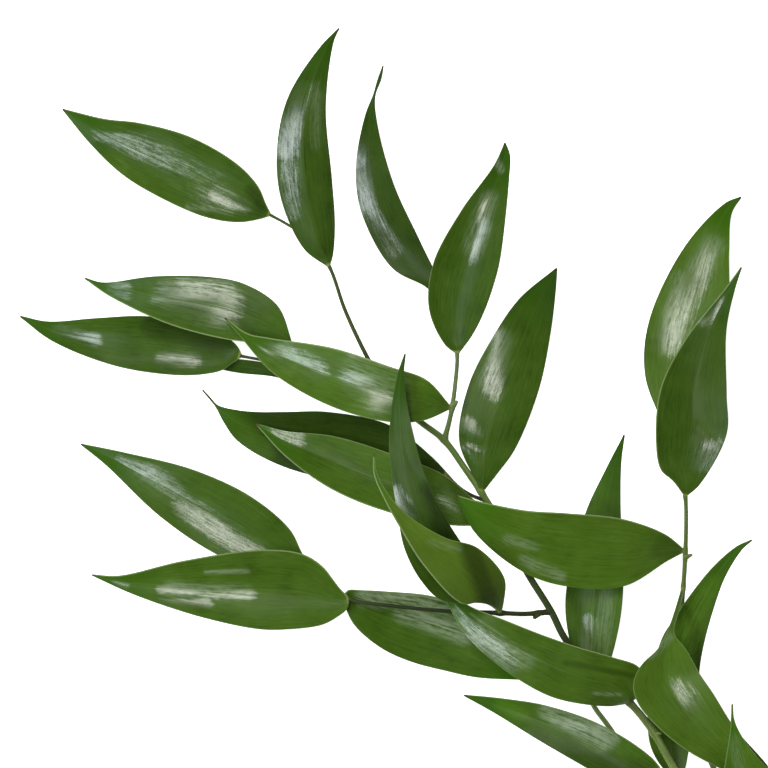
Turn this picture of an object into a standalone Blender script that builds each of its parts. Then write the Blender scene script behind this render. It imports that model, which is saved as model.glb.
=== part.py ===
# A lying bunch of Italian ruscus: three cut stems with side twigs and glossy pointed leaves.
# Metres, +Z up. The bunch lies on z = 0, and +Y is the way that its tips point.

import math

import bmesh
import bpy
import numpy as np
from mathutils import Vector

# Leaves and stems are laid out over a square picture of the bunch, seen from straight above.
# Points are picture pixels, heights above the table are millimetres.
PICTURE_WIDTH = 0.246
PICTURE_PIXELS = 768
PIXEL = PICTURE_WIDTH / PICTURE_PIXELS
ORIGIN_PIXEL = (501, 560)
MM = 0.001

BLADE_THICKNESS = 0.65 * MM
STALK_WIDTH = 1.0 * MM
TIP_WIDTH = 0.6 * MM
# From the bark to the middle of a leaf's stalk, which leaves about 0.3 mm clear.
SEAT_GAP = 0.6 * MM
# How steeply a leaf leaves its twig, in degrees, where the leaf doesn't say.
DEFAULT_RISE = 10
LENGTH_STEPS = 12
WIDTH_STEPS = 4
EDGE_SAMPLES = 81
# How far the rows across a leaf crowd towards its two ends.
END_CROWDING = 0.4
# Where a leaf's cup crosses its middle surface, as a share of the half width, squared.
CUP_LEVEL = 0.35
# Where a leaf with a fold along its midrib crosses its middle surface, as a share of the half width.
FOLD_LEVEL = 0.5
# A leaf narrower than this, from midrib to edge, leans less.
FULL_LEAN_WIDTH = 5.0 * MM

STEM_GAP = 0.35 * MM
STEM_STEP = 5.0 * MM
STEM_BEVEL_RESOLUTION = 2
BARK_SAMPLES = 12
WELD_DISTANCE = 0.01 * MM
BRACT_LENGTH = 3.2 * MM
BRACT_WIDTH = 1.7 * MM
BRACT_TIP_SHARE = 0.17
BRACT_RISE = 0.6
BRACT_STANDS_OUT = 0.42
BRACT_SIDES = 6
SMOOTH_ANGLE = math.radians(45)

LEAF_GREEN = (0.055, 0.125, 0.018, 1.0)
LEAF_ROUGHNESS = 0.3
STEM_GREEN = (0.16, 0.22, 0.07, 1.0)
STEM_ROUGHNESS = 0.5

# The main stem, from its cut end to its fork: pixel x, pixel y, height.
MAIN_ROUTE = [
    (885, 1088, 1.5), (850, 1035, 4.5), (790, 945, 12), (730, 855, 19), (674, 768, 24.5),
    (652, 730, 26), (631, 704, 27), (598, 675, 28), (566, 640, 29), (551, 611, 29.5),
    (528, 574, 30), (508, 537, 31), (487, 501, 32), (466, 470, 33), (444, 440, 34),
    (422, 423, 34), (395, 402, 34),
]
MAIN_WIDTHS = (2.9, 1.9)
SECOND_WIDTHS = (2.3, 1.6)
THIRD_WIDTHS = (2.4, 1.2)
# How many points of the main stem the other two lie beside, from the cut end up.
SHARED_POINTS = 2

SECOND_ROUTE = [
    (792, 968, 8.5), (736, 898, 12), (682, 834, 14), (632, 762, 16), (609, 727, 17.5),
    (594, 706, 18), (589, 692, 18),
]
THIRD_ROUTE = [
    (814, 958, 9), (768, 862, 11.5), (715, 770, 14), (692, 700, 15), (681, 640, 18),
    (683, 602, 20), (686, 551, 22), (686, 497, 20.5), (680, 465, 17), (673, 440, 14),
]

# Side twigs of the main stem, each from the stem outwards, with its widths in millimetres.
TWIGS = {
    "top": dict(
        widths=(1.5, 0.9),
        route=[
            (395, 402, 34), (380, 380, 34), (365, 353, 33), (345, 310, 31), (329, 266, 28),
            (308, 238, 24), (287, 224, 21), (269, 214, 20),
        ],
    ),
    "left": dict(
        widths=(1.5, 0.9),
        route=[(395, 402, 34), (350, 385, 31), (300, 368, 28), (262, 360, 25), (240, 355.8, 22.5)],
    ),
    "low": dict(
        widths=(1.2, 0.9),
        route=[(487, 501, 32), (473, 496, 31), (460, 488, 29), (447, 475, 27)],
    ),
    "side": dict(
        widths=(1.6, 1.0),
        route=[
            (550, 612, 29.5), (525, 614, 30), (500, 613, 30), (445, 611, 29), (393, 606, 27),
            (352, 600, 24.5), (332, 588, 22), (314, 569, 19.5),
        ],
    ),
    "upright": dict(
        widths=(1.6, 1.0),
        route=[
            (444, 440, 34), (449, 422, 36), (452, 407, 37.5), (455, 385, 38), (457, 353, 37),
            (452, 330, 34), (443, 305, 31.5),
        ],
    ),
}

# Scale leaves at the nodes: the shoot, the pixel, and the way the scale's tip points.
BRACTS = [
    ("upright", (453, 407), (1.0, 0.9)),
    ("side", (538, 613), (-0.7, -1.0)),
    ("third", (686, 556), (0.9, 0.8)),
    ("main", (654, 733), (0.9, -0.2)),
    ("main", (444, 440), (0.5, 1.0)),
]

# Each leaf: the shoot that carries it, its base and tip, the points of its two edges between
# them, its heights at one third, two thirds and the tip, how much its second edge stands above
# its midrib at the base, middle and tip, how deep its cross-section is cupped, and how sharply it
# is folded along its midrib (below 0 the two halves fall away from it).
LEAVES = {
    "leaf_01": dict(
        shoot="top", base=(266, 213), tip=(61, 108),
        edges=[
            [(259, 219), (238, 222), (204, 216.5), (150, 192), (119, 172), (89, 143)],
            [(265.5, 203), (258, 186), (237, 163.7), (189, 136), (138, 122), (104, 118)],
        ],
        heights=(20, 13, 6), lean=(0, 1, 2), cup=0.2,
    ),
    "leaf_02": dict(
        shoot="top", base=(329, 266), tip=(339, 28), rise=35,
        edges=[
            [(304, 249), (281, 199), (277, 148), (288, 97), (319, 48)],
            [(333, 255), (335, 224), (332, 179), (326, 107), (334, 41)],
        ],
        heights=(30, 31, 26), lean=(0, 1, 0), cup=0.0, fold=-0.2,
    ),
    "leaf_03": dict(
        shoot="upright", base=(442, 303), tip=(383, 65),
        edges=[
            [(427, 288), (392, 268), (361, 211), (356, 165), (365, 115), (373.2, 94), (377, 80)],
            [(440, 284), (420, 241), (394, 185), (378, 127), (375.2, 96), (381.5, 78)],
        ],
        heights=(27, 25, 14), lean=(0, 3, 1), cup=0.1, fold=0.1,
    ),
    "leaf_04": dict(
        shoot="upright", base=(457, 353), tip=(505, 143), rise=40,
        edges=[
            [(445, 345), (429, 310), (433, 264), (461, 211), (494, 165)],
            [(471, 337), (483, 314), (494, 283), (500, 258), (509, 178), (510, 155)],
        ],
        heights=(39.5, 42, 33), lean=(0, 2, -2), cup=0.2, fold=0.1,
    ),
    "leaf_05": dict(
        shoot="main", base=(484, 490), tip=(557, 268), rise=70,
        edges=[
            [(473, 476), (459, 440), (468, 387), (491, 340), (519, 299)],
            [(497, 474), (515, 449), (539, 389), (551, 331), (556, 290)],
        ],
        heights=(34.5, 31, 22), lean=(0, 0, -4), cup=-0.1,
    ),
    "leaf_06": dict(
        shoot="upright", base=(453, 408), tip=(225, 318), rise=20,
        edges=[
            [(425, 420), (391, 422), (333, 407), (273, 373), (239, 335)],
            [(427, 380), (391, 367), (333, 348), (270, 338), (247, 333)],
        ],
        heights=(44, 36, 35), lean=(0, 0, 0), cup=0.1, fold=0.1,
    ),
    "leaf_07": dict(
        shoot="left", base=(298, 366), tip=(84, 278), rise=60,
        edges=[
            [(290, 345), (272, 343), (237, 341), (194, 332), (158, 320), (107, 295)],
            [(292, 342), (278, 306), (245, 284), (212, 277), (155, 276), (102, 282)],
        ],
        heights=(29, 25, 15), lean=(0, -1, 2), cup=0.05,
    ),
    "leaf_08": dict(
        shoot="left", base=(240, 356), tip=(18, 316),
        edges=[
            [(232, 363), (222, 370), (205, 374), (175, 375), (115, 366), (51, 341)],
            [(237, 346), (225, 336), (190, 323), (145, 316), (94, 318), (46, 321)],
        ],
        heights=(19, 14, 0.35), lean=(0, 1, -1), cup=0.2,
    ),
    "leaf_09": dict(
        shoot="left", base=(360, 390), tip=(207, 362), rise=-50,
        edges=[
            [(345, 396), (310, 388), (275, 377), (240, 373), (220, 369)],
            [(338, 382), (300, 370), (268, 363), (235, 359), (218, 359)],
        ],
        heights=(25, 20, 16), lean=(0, 4, 2), cup=0.2,
    ),
    "leaf_10": dict(
        shoot="low", base=(445, 473), tip=(202, 390),
        edges=[
            [
                (432, 478), (385, 482), (345, 482), (281, 466),
                (237, 441), (223, 422), (215, 407), (208.5, 399),
            ],
            [
                (432, 457), (389, 425), (328, 412), (286, 412),
                (256, 412), (236, 410), (217, 405), (210.5, 398),
            ],
        ],
        heights=(23, 20, 16), lean=(0, 3, 1), cup=0.16,
    ),
    "leaf_11": dict(
        shoot="main", base=(495, 520), tip=(256, 424), rise=5,
        edges=[
            [(480, 525), (449, 525), (391, 513), (333, 490), (286, 457)],
            [(480, 505), (444, 475), (389, 453), (333, 436), (285, 431)],
        ],
        heights=(31, 28, 23), lean=(0, -1, -1), cup=0.12, fold=0.1,
    ),
    "leaf_12": dict(
        shoot="side", base=(312, 568), tip=(79.5, 444.5),
        edges=[
            [(290, 577), (250, 569), (209, 551), (157, 515), (104, 465)],
            [(303, 555), (290, 530), (251, 497), (193, 470), (125, 453)],
        ],
        heights=(18, 13, 4), lean=(0, 1, -1), cup=0.1, fold=0.1,
    ),
    "leaf_13": dict(
        shoot="side", base=(499.5, 611), tip=(405, 354), rise=0,
        edges=[
            [(487, 604), (442, 600), (423, 583), (405, 550), (397, 510), (389, 441), (397, 376)],
            [(498, 594), (465, 548), (432, 493), (413, 433), (404, 376)],
        ],
        heights=(48, 48, 53), lean=(0, 1, 2), cup=0.1, fold=-0.1,
    ),
    "leaf_14": dict(
        shoot="side", base=(349, 600), tip=(91, 575.5), rise=30,
        edges=[
            [(347, 609), (339, 616), (322, 625), (280, 630), (255, 629), (196, 616), (133, 595)],
            [(341, 590), (334, 581), (322, 566), (302, 554), (261, 550), (183, 561), (118, 576)],
        ],
        heights=(24, 21, 15), lean=(0, 1, 0), cup=0.2, fold=0.1,
    ),
    "leaf_15": dict(
        shoot="side", base=(343, 596), tip=(528, 680), rise=-65,
        edges=[
            [(348, 590.5), (362, 590.5), (389, 592), (434, 597), (480, 615), (510, 645)],
            [(347, 612), (354, 625), (368, 639), (387, 652), (413, 663), (448, 672), (477, 678)],
        ],
        heights=(18, 17, 20), lean=(0, 1.5, 0.5), cup=0.1,
    ),
    "leaf_16": dict(
        shoot="main", base=(630, 702), tip=(440, 587), rise=75,
        edges=[
            [
                (646, 688), (639, 667), (613, 657), (580, 647.5),
                (542, 634.5), (500, 618), (471, 606.5), (454, 595),
            ],
            [(609, 706), (556, 698), (518, 679), (481, 651), (462, 630), (447, 602)],
        ],
        heights=(38, 34.8, 31), lean=(0, 0, -1), cup=0.0, fold=-0.2,
    ),
    "leaf_17": dict(
        shoot="side", base=(500, 612), tip=(374, 454), rise=65,
        edges=[
            [(492, 606), (477, 602), (462, 603), (424, 565), (400, 527), (385, 500), (374, 474)],
            [(504, 600), (504, 577), (477, 547), (445, 537), (407, 514), (388, 493), (377, 472)],
        ],
        heights=(53, 56, 55), lean=(0, -2, 0), cup=0.2,
    ),
    "leaf_18": dict(
        shoot="third", base=(684, 588), tip=(800, 830), rise=50,
        edges=[
            [
                (675, 610), (668, 629), (657, 649), (641, 664), (632.5, 683),
                (637, 702), (658, 727), (687, 750), (740, 780),
            ],
            [
                (679, 611), (674, 633), (685, 648), (699, 673),
                (712, 692), (734, 727), (767, 765), (785, 793),
            ],
        ],
        heights=(41, 41, 28), lean=(0, -1, 0), cup=0.1, fold=0.1,
    ),
    "leaf_19": dict(
        shoot="third", base=(686, 551), tip=(456, 495), rise=25,
        edges=[
            [(668, 561), (625, 586), (572, 587), (527, 574), (476, 534)],
            [(665, 534), (623, 519), (567, 513), (524, 510), (471, 499)],
        ],
        heights=(34, 40, 41), lean=(0, 2, 1), cup=0.12,
    ),
    "leaf_20": dict(
        shoot="second", base=(591, 690), tip=(625, 435),
        edges=[
            [(578, 672), (566, 615), (569, 575), (586, 513), (605, 472)],
            [(605, 676), (620, 623), (624, 570), (621, 510), (622, 462)],
        ],
        heights=(19.5, 19.5, 15), lean=(0, 3, 1), cup=0.2, fold=-0.1,
    ),
    "leaf_21": dict(
        shoot="main", base=(690, 792), tip=(464, 696), rise=30,
        edges=[
            [(672, 802), (630, 793), (586, 768), (539, 741), (495, 714)],
            [(671, 781), (651, 757), (601, 725), (546, 706), (503, 699)],
        ],
        heights=(25, 20, 18), lean=(0, 0, 0), cup=0.1, fold=0.1,
    ),
    "leaf_22": dict(
        shoot="main", base=(681, 780), tip=(752, 540), rise=-80,
        edges=[
            [
                (667, 773), (652, 750), (648, 725), (651, 680), (663, 637),
                (676, 617), (687, 600), (713, 567), (737, 546),
            ],
            [
                (686, 768), (690, 748), (699, 714), (700, 671),
                (705, 642), (716, 603), (726, 576), (742, 550),
            ],
        ],
        heights=(21, 24, 31), lean=(0, 0, 0), cup=0.1,
    ),
    "leaf_23": dict(
        shoot="third", base=(672, 437), tip=(743, 196),
        edges=[
            [(662, 420), (646, 375), (650, 321), (686, 246), (727, 202)],
            [(688, 425), (716, 380), (730, 310), (731, 250), (734, 212)],
        ],
        heights=(10, 7, 0.45), lean=(0, 2, -2), cup=0.1,
    ),
    "leaf_24": dict(
        shoot="third", base=(686, 497), tip=(742, 267), rise=35,
        edges=[
            [(673, 481), (661, 470), (656, 440), (661, 388), (686, 339), (726, 288)],
            [(700, 485), (727, 434), (727, 394), (727, 330), (736, 288)],
        ],
        heights=(25, 21, 21), lean=(0, 1, 2), cup=0.1, fold=0.1,
    ),
    "leaf_25": dict(
        shoot="main", base=(777, 925), tip=(731, 703), rise=45,
        edges=[
            [(762, 905), (733, 855), (719, 800), (724, 762), (729, 728)],
            [(785, 905), (793, 850), (782, 785), (757, 757), (740, 734), (733, 718)],
        ],
        heights=(33, 44, 48), lean=(0, 0, 0), cup=0.14,
    ),
    "leaf_26": dict(
        shoot="second", base=(676, 838), tip=(478, 905),
        edges=[
            [(660, 862), (610, 895), (550, 905), (505, 906)],
            [(652, 832), (600, 842), (550, 866), (505, 892)],
        ],
        heights=(16, 12, 5), lean=(0, 2, 1), cup=0.14,
    ),
    "leaf_27": dict(
        shoot="main", base=(745, 878), tip=(935, 745), rise=20,
        edges=[
            [(760, 852), (800, 806), (855, 772), (905, 753)],
            [(780, 878), (840, 855), (890, 810), (922, 770)],
        ],
        heights=(20, 17, 9), lean=(0, -2, -1), cup=0.14,
    ),
    "leaf_28": dict(
        shoot="third", base=(754, 838), tip=(893, 655),
        edges=[
            [(756, 812), (778, 760), (825, 705), (868, 670)],
            [(776, 826), (825, 785), (866, 730), (886, 685)],
        ],
        heights=(13, 12, 7), lean=(0, 2, 1), cup=0.14,
    ),
    "leaf_29": dict(
        shoot="second", base=(748, 913), tip=(566, 1032),
        edges=[
            [(740, 944), (700, 991), (650, 1020), (600, 1032)],
            [(720, 912), (670, 932), (620, 972), (585, 1010)],
        ],
        heights=(11, 9, 4), lean=(0, 2, 1), cup=0.14,
    ),
    "leaf_30": dict(
        shoot="third", base=(812, 955), tip=(984, 838),
        edges=[
            [(822, 922), (860, 880), (912, 850), (956, 840)],
            [(840, 950), (890, 930), (940, 890), (972, 856)],
        ],
        heights=(9, 8, 4), lean=(0, -2, -1), cup=0.14,
    ),
}


def clear_scene():
    for old in list(bpy.data.objects):
        bpy.data.objects.remove(old, do_unlink=True)


def at_pixel(x, y, height_mm=0.0):
    """The point over a picture pixel, at a height in millimetres."""
    right = (x - ORIGIN_PIXEL[0]) * PIXEL
    up = (ORIGIN_PIXEL[1] - y) * PIXEL
    return np.array([right, up, height_mm * MM])


def smooth_path(points, count):
    """Points evenly spaced along one smooth curve through the given points."""
    knots = np.array(points, float)
    spans = np.sqrt(np.linalg.norm(np.diff(knots, axis=0), axis=1))
    times = np.concatenate([[0.0], np.cumsum(spans)])
    slopes = np.gradient(knots, times, axis=0)
    fine = np.linspace(0.0, times[-1], 40 * len(knots))
    index = np.clip(np.searchsorted(times, fine, side="right") - 1, 0, len(spans) - 1)
    span = spans[index][:, None]
    t = (fine - times[index])[:, None] / span
    curve = (2 * t**3 - 3 * t**2 + 1) * knots[index]
    curve += (t**3 - 2 * t**2 + t) * span * slopes[index]
    curve += (3 * t**2 - 2 * t**3) * knots[index + 1]
    curve += (t**3 - t**2) * span * slopes[index + 1]
    steps = np.linalg.norm(np.diff(curve, axis=0), axis=1)
    travelled = np.concatenate([[0.0], np.cumsum(steps)])
    even = np.linspace(0.0, travelled[-1], count)
    return np.stack([np.interp(even, travelled, column) for column in curve.T], axis=1)


def value_along(values, share):
    """A smooth value at a share of the way, through values spaced evenly from 0 to 1."""
    places = np.linspace(0.0, 1.0, len(values))
    return float(np.polyval(np.polyfit(places, values, len(values) - 1), share))


def make_material(name, colour, roughness):
    material = bpy.data.materials.new(name)
    material.use_nodes = True
    shader = material.node_tree.nodes["Principled BSDF"]
    shader.inputs["Base Color"].default_value = colour
    shader.inputs["Roughness"].default_value = roughness
    shader.inputs["Metallic"].default_value = 0.0
    return material


def shade_smooth(mesh):
    mesh.shade_smooth()
    mesh.set_sharp_from_angle(angle=SMOOTH_ANGLE)


class Shoot:
    """A stem or twig: its smooth route, and its radius along it."""

    def __init__(self, points, widths_mm):
        rough_length = np.linalg.norm(np.diff(points, axis=0), axis=1).sum()
        count = max(5, int(rough_length / STEM_STEP))
        self.path = smooth_path(points, count)
        self.radii = np.linspace(*widths_mm, count) * MM / 2
        self.fine = smooth_path(points, BARK_SAMPLES * count)
        self.fine_radii = np.linspace(*widths_mm, BARK_SAMPLES * count) * MM / 2

    def nearest(self, pixel):
        """The index of the point of the route that is nearest to a pixel, seen from above."""
        there = at_pixel(*pixel)
        return int(np.argmin(np.linalg.norm(self.fine[:, :2] - there[:2], axis=1)))

    def heading(self, index):
        before = self.fine[max(index - 1, 0)]
        after = self.fine[min(index + 1, len(self.fine) - 1)]
        return (after - before) / np.linalg.norm(after - before)

    def seat(self, pixel, towards):
        """Where a leaf that points a given way starts, a small gap off the bark."""
        index = self.nearest(pixel)
        heading = self.heading(index)
        if index >= len(self.fine) - BARK_SAMPLES:
            return self.fine[-1] + heading * SEAT_GAP
        outward = towards - heading * float(np.dot(towards, heading))
        outward /= np.linalg.norm(outward)
        return self.fine[index] + outward * (self.fine_radii[index] + SEAT_GAP)


def evaluated_mesh(piece):
    bpy.context.view_layer.update()
    graph = bpy.context.evaluated_depsgraph_get()
    return bpy.data.meshes.new_from_object(piece.evaluated_get(graph))


def tube_object(name, shoot):
    """A closed tube along a shoot, as a mesh whose end caps are welded on."""
    curve = bpy.data.curves.new(name, "CURVE")
    curve.dimensions = "3D"
    curve.bevel_depth = 1.0
    curve.bevel_resolution = STEM_BEVEL_RESOLUTION
    curve.use_fill_caps = True
    spline = curve.splines.new("POLY")
    spline.points.add(len(shoot.path) - 1)
    for point, place, radius in zip(spline.points, shoot.path, shoot.radii):
        point.co = (*place, 1.0)
        point.radius = radius
    carrier = bpy.data.objects.new(name + "_curve", curve)
    bpy.context.scene.collection.objects.link(carrier)
    mesh = evaluated_mesh(carrier)
    bpy.data.objects.remove(carrier, do_unlink=True)
    bpy.data.curves.remove(curve)
    shape = bmesh.new()
    shape.from_mesh(mesh)
    bmesh.ops.remove_doubles(shape, verts=shape.verts, dist=WELD_DISTANCE)
    bmesh.ops.recalc_face_normals(shape, faces=shape.faces)
    shape.to_mesh(mesh)
    shape.free()
    tube = bpy.data.objects.new(name, mesh)
    bpy.context.scene.collection.objects.link(tube)
    return tube


def bract_object(name, shoot, pixel, sideways):
    """A small pointed scale leaf whose root is sunk in the stem."""
    index = shoot.nearest(pixel)
    point = Vector((*sideways, BRACT_RISE)).normalized()
    shape = bmesh.new()
    bmesh.ops.create_cone(
        shape,
        cap_ends=True,
        segments=BRACT_SIDES,
        radius1=BRACT_WIDTH / 2,
        radius2=BRACT_WIDTH / 2 * BRACT_TIP_SHARE,
        depth=BRACT_LENGTH,
    )
    turn = Vector((0, 0, 1)).rotation_difference(point).to_matrix()
    bmesh.ops.rotate(shape, verts=shape.verts, matrix=turn)
    centre = Vector(shoot.fine[index]) + point * BRACT_LENGTH * BRACT_STANDS_OUT
    bmesh.ops.translate(shape, verts=shape.verts, vec=centre)
    mesh = bpy.data.meshes.new(name)
    shape.to_mesh(mesh)
    shape.free()
    bract = bpy.data.objects.new(name, mesh)
    bpy.context.scene.collection.objects.link(bract)
    return bract


def joined(base, others):
    """One body from a stem and everything that grows from it."""
    if others:
        group = bpy.data.collections.new(base.name + "_growth")
        bpy.context.scene.collection.children.link(group)
        for other in others:
            bpy.context.scene.collection.objects.unlink(other)
            group.objects.link(other)
        union = base.modifiers.new("growth", "BOOLEAN")
        union.operation = "UNION"
        union.operand_type = "COLLECTION"
        union.collection = group
        union.solver = "EXACT"
        mesh = evaluated_mesh(base)
        base.modifiers.clear()
        base.data = mesh
        for other in others:
            bpy.data.objects.remove(other, do_unlink=True)
        bpy.data.collections.remove(group)
    return base


def beside_main(side, width_mm):
    """Points beside the lowest stretch of the main stem, on its left (-1) or right (1)."""
    places = [at_pixel(*point) for point in MAIN_ROUTE[: SHARED_POINTS + 1]]
    reach = (MAIN_WIDTHS[0] + width_mm) / 2 * MM + STEM_GAP
    points = []
    for here, onward in zip(places[:-1], places[1:]):
        ahead = (onward - here)[:2]
        ahead /= np.linalg.norm(ahead)
        rightward = np.array([ahead[1], -ahead[0], 0.0])
        points.append(here + rightward * reach * side)
    return points


def make_shoots():
    main = [at_pixel(*point) for point in MAIN_ROUTE]
    second = beside_main(-1, SECOND_WIDTHS[0]) + [at_pixel(*point) for point in SECOND_ROUTE]
    third = beside_main(1, THIRD_WIDTHS[0]) + [at_pixel(*point) for point in THIRD_ROUTE]
    shoots = {
        "main": Shoot(main, MAIN_WIDTHS),
        "second": Shoot(second, SECOND_WIDTHS),
        "third": Shoot(third, THIRD_WIDTHS),
    }
    for name, twig in TWIGS.items():
        shoots[name] = Shoot([at_pixel(*point) for point in twig["route"]], twig["widths"])
    return shoots


def leaf_surface(leaf, shoots):
    """A function that gives the leaf's middle surface at u along it and v across it."""
    tip = at_pixel(*leaf["tip"])
    first, second = [[at_pixel(*point)[:2] for point in edge] for edge in leaf["edges"]]
    outward = (first[0] + second[0]) / 2 - at_pixel(*leaf["base"])[:2]
    outward /= np.linalg.norm(outward)
    rise = math.radians(leaf.get("rise", DEFAULT_RISE))
    towards = np.array([*(outward * math.cos(rise)), math.sin(rise)])
    seat = shoots[leaf["shoot"]].seat(leaf["base"], towards)

    def across(back, ahead, width):
        run = (ahead - back) / np.linalg.norm(ahead - back)
        return np.array([-run[1], run[0]]) * width / 2

    start = (first[0] + second[0]) / 2
    finish = (first[-1] + second[-1]) / 2
    turned = math.copysign(1.0, np.dot(across(seat[:2], start, 1.0), second[0] - first[0]))
    root = across(seat[:2], start, STALK_WIDTH) * turned
    end = across(finish, tip[:2], TIP_WIDTH) * turned
    edges = [
        smooth_path([seat[:2] - root, *first, tip[:2] - end], EDGE_SAMPLES),
        smooth_path([seat[:2] + root, *second, tip[:2] + end], EDGE_SAMPLES),
    ]
    shares = np.linspace(0.0, 1.0, EDGE_SAMPLES)
    heights = (seat[2] / MM, *leaf["heights"])

    def surface(u, v):
        near, far = [
            np.array([np.interp(u, shares, column) for column in edge.T]) for edge in edges
        ]
        half = (far - near) / 2
        place = (near + far) / 2 + half * v
        height = value_along(heights, u) * MM
        half_width = np.linalg.norm(half)
        lean = value_along(leaf["lean"], u) * MM * min(1.0, half_width / FULL_LEAN_WIDTH)
        height += lean * v + leaf["cup"] * half_width * (v * v - CUP_LEVEL)
        height += leaf.get("fold", 0.0) * half_width * (abs(v) - FOLD_LEVEL)
        return (place[0], place[1], height)

    return surface


def leaf_object(name, leaf, shoots, material, collection):
    surface = leaf_surface(leaf, shoots)
    shape = bmesh.new()
    bmesh.ops.create_grid(shape, x_segments=LENGTH_STEPS, y_segments=WIDTH_STEPS, size=0.5)
    for vertex in shape.verts:
        along = vertex.co.x + 0.5
        crowded = 0.5 - 0.5 * math.cos(math.pi * along)
        along += (crowded - along) * END_CROWDING
        vertex.co = surface(along, vertex.co.y * 2)
    bmesh.ops.triangulate(shape, faces=shape.faces)
    bmesh.ops.recalc_face_normals(shape, faces=shape.faces)
    mesh = bpy.data.meshes.new(name)
    shape.to_mesh(mesh)
    shape.free()
    shade_smooth(mesh)
    mesh.materials.append(material)
    blade = bpy.data.objects.new(name, mesh)
    collection.objects.link(blade)
    thickness = blade.modifiers.new("thickness", "SOLIDIFY")
    thickness.thickness = BLADE_THICKNESS
    thickness.offset = 0.0
    thickness.use_rim = True
    return blade


def stem_object(name, shoots, trunk, twigs, material, collection):
    base = tube_object(name, shoots[trunk])
    growth = [tube_object("twig_" + twig, shoots[twig]) for twig in twigs]
    for number, (shoot, pixel, sideways) in enumerate(BRACTS):
        if shoot == trunk or shoot in twigs:
            growth.append(bract_object(f"bract_{number}", shoots[shoot], pixel, sideways))
    stem = joined(base, growth)
    stem.data.materials.clear()
    stem.data.materials.append(material)
    shade_smooth(stem.data)
    bpy.context.scene.collection.objects.unlink(stem)
    collection.objects.link(stem)
    return stem


def build_bunch():
    clear_scene()
    collection = bpy.data.collections.new("ruscus_bunch")
    bpy.context.scene.collection.children.link(collection)
    bunch = bpy.data.objects.new("bunch", None)
    collection.objects.link(bunch)
    shoots = make_shoots()
    pieces = []
    for trunk in ("main", "second", "third"):
        twigs = list(TWIGS) if trunk == "main" else []
        bark = make_material(f"bark_{trunk}", STEM_GREEN, STEM_ROUGHNESS)
        pieces.append(stem_object(f"stem_{trunk}", shoots, trunk, twigs, bark, collection))
    for name, leaf in LEAVES.items():
        green = make_material(f"green_{name}", LEAF_GREEN, LEAF_ROUGHNESS)
        pieces.append(leaf_object(name, leaf, shoots, green, collection))
    for piece in pieces:
        piece.parent = bunch


build_bunch()
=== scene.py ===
import math

import bmesh
import bpy
import numpy as np
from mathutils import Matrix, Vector


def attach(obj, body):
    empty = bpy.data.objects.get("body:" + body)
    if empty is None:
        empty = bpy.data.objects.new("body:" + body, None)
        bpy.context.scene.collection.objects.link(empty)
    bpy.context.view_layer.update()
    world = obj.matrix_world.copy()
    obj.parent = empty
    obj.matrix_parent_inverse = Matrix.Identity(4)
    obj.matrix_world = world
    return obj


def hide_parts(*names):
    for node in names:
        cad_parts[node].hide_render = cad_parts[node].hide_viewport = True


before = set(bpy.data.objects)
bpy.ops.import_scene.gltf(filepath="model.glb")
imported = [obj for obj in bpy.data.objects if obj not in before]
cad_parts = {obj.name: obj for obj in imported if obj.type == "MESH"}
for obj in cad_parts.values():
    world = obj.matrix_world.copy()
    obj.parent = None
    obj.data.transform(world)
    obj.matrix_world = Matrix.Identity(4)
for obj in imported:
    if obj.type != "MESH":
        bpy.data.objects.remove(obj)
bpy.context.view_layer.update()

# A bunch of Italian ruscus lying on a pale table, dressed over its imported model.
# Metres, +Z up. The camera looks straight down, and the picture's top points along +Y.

mm = 0.001
picture = dict(width=0.246, pixels=768, origin=(501, 560))  # the pixel that lies over the frame's origin
pixel = picture["width"] / picture["pixels"]


def atPixel(x, y, heightMm=0.0):
    right = (x - picture["origin"][0]) * pixel
    up = (picture["origin"][1] - y) * pixel
    return np.array([right, up, heightMm * mm])


def smoothPath(points, count):
    # points evenly spaced along one smooth curve through the given points
    knots = np.array(points, float)
    spans = np.sqrt(np.linalg.norm(np.diff(knots, axis=0), axis=1))
    times = np.concatenate([[0.0], np.cumsum(spans)])
    slopes = np.gradient(knots, times, axis=0)
    fine = np.linspace(0.0, times[-1], 40 * len(knots))
    index = np.clip(np.searchsorted(times, fine, side="right") - 1, 0, len(spans) - 1)
    span = spans[index][:, None]
    t = (fine - times[index])[:, None] / span
    curve = (2 * t**3 - 3 * t**2 + 1) * knots[index]
    curve += (t**3 - 2 * t**2 + t) * span * slopes[index]
    curve += (3 * t**2 - 2 * t**3) * knots[index + 1]
    curve += (t**3 - t**2) * span * slopes[index + 1]
    steps = np.linalg.norm(np.diff(curve, axis=0), axis=1)
    travelled = np.concatenate([[0.0], np.cumsum(steps)])
    even = np.linspace(0.0, travelled[-1], count)
    return np.stack([np.interp(even, travelled, column) for column in curve.T], axis=1)


def valueAlong(values, share):
    # a smooth value at each share of the way, through values spaced evenly from 0 to 1
    places = np.linspace(0.0, 1.0, len(values))
    return np.polyval(np.polyfit(places, values, len(values) - 1), share)


def fade(low, high, value):
    # 0 below low, 1 above high, and a smooth slope between them
    share = np.clip((value - low) / (high - low), 0.0, 1.0)
    return share * share * (3 - 2 * share)


def fromStroke(places, stroke, width):
    # how many stroke widths places lie from a straight stroke between two picture pixels, in plan
    start = atPixel(*stroke[:2])[:2]
    run = atPixel(*stroke[2:])[:2] - start
    share = np.clip((places - start) @ run / max(float(run @ run), 1e-12), 0.0, 1.0)
    return np.linalg.norm(places - start - share[:, None] * run, axis=1) / (width * pixel)


def addObject(name, data):
    thing = bpy.data.objects.new(name, data)
    bpy.context.scene.collection.objects.link(thing)
    return thing


def addPiece(name, mesh, body, node):
    piece = addObject(name, mesh)
    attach(piece, body)
    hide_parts(node)


def meshOf(shape, name):
    mesh = bpy.data.meshes.new(name)
    shape.to_mesh(mesh)
    shape.free()
    return mesh


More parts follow.
